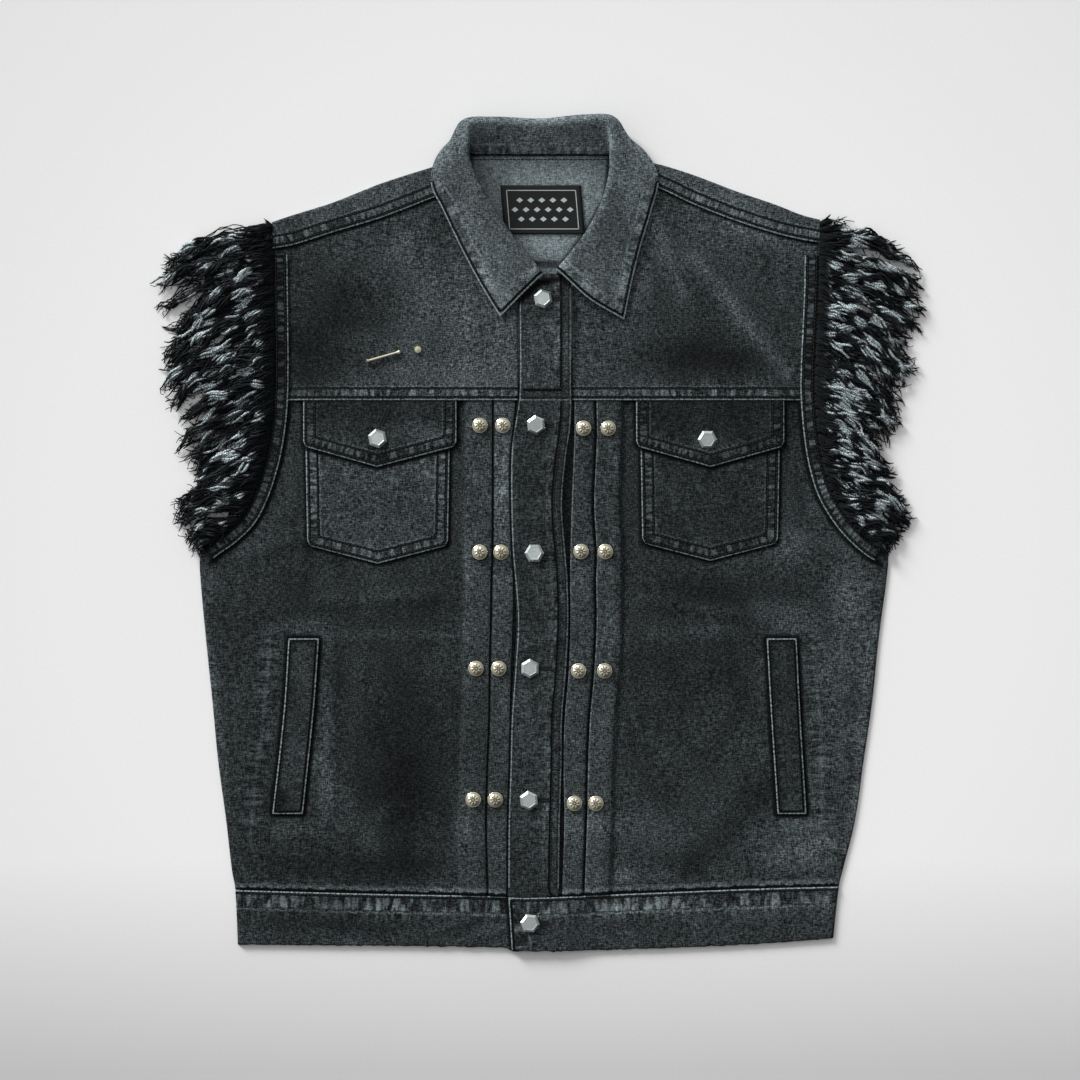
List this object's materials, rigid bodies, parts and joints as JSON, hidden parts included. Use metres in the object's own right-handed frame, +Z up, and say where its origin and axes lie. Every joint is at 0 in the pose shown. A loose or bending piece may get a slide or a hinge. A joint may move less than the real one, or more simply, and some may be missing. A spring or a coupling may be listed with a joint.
{
  "type": "denim vest",
  "caption": "Sleeveless denim vest laid flat, with a turned-down collar, pleated and buttoned front, flap and welt pockets, and frayed fringes round the armholes",
  "frame": {"origin": "on the table, under the middle of the box of the garment as it lies, fringes included", "axes": "+Z is up, away from the table that the back lies on; +Y runs from the hem to the collar; +X is to the wearer's left"},
  "size_m": [0.6717, 0.7257, 0.026],
  "materials": {
    "denim": "washed black denim, worn pale at the seams",
    "collar_denim": "washed black denim, faded",
    "frayed_yarn": "frayed cotton yarn, black warp and pale weft",
    "label_satin": "woven black satin",
    "zinc": "brushed zinc",
    "antique_silver": "antique silver, polished on its high places"
  },
  "bodies": {
    "root": {"back_panel": "denim", "back_waistband": "denim", "back_yoke": "denim", "front_yoke_right": "denim", "front_yoke_left": "denim", "front_right": "denim", "front_left": "denim", "placket_right": "denim", "placket_left": "denim", "waistband_right": "denim", "waistband_left": "denim", "collar": "collar_denim", "label": "label_satin", "pocket_right": "denim", "flap_right": "denim", "pocket_left": "denim", "flap_left": "denim", "welt_right": "denim", "welt_left": "denim", "armhole_band_right": "denim", "armhole_band_left": "denim", "fringe_right_front": "frayed_yarn", "fringe_right_back": "frayed_yarn", "fringe_left_front": "frayed_yarn", "fringe_left_back": "frayed_yarn", "button_collar": "zinc", "button_1": "zinc", "button_2": "zinc", "button_3": "zinc", "button_4": "zinc", "button_waist": "zinc", "button_pocket_right": "zinc", "button_pocket_left": "zinc", "stud_a_right1": "antique_silver", "stud_a_right2": "antique_silver", "stud_a_left1": "antique_silver", "stud_a_left2": "antique_silver", "stud_b_right1": "antique_silver", "stud_b_right2": "antique_silver", "stud_b_left1": "antique_silver", "stud_b_left2": "antique_silver", "stud_c_right1": "antique_silver", "stud_c_right2": "antique_silver", "stud_c_left1": "antique_silver", "stud_c_left2": "antique_silver", "stud_d_right1": "antique_silver", "stud_d_right2": "antique_silver", "stud_d_left1": "antique_silver", "stud_d_left2": "antique_silver", "bar_pin": "antique_silver", "chest_bead": "antique_silver"}
  },
  "joints": []
}
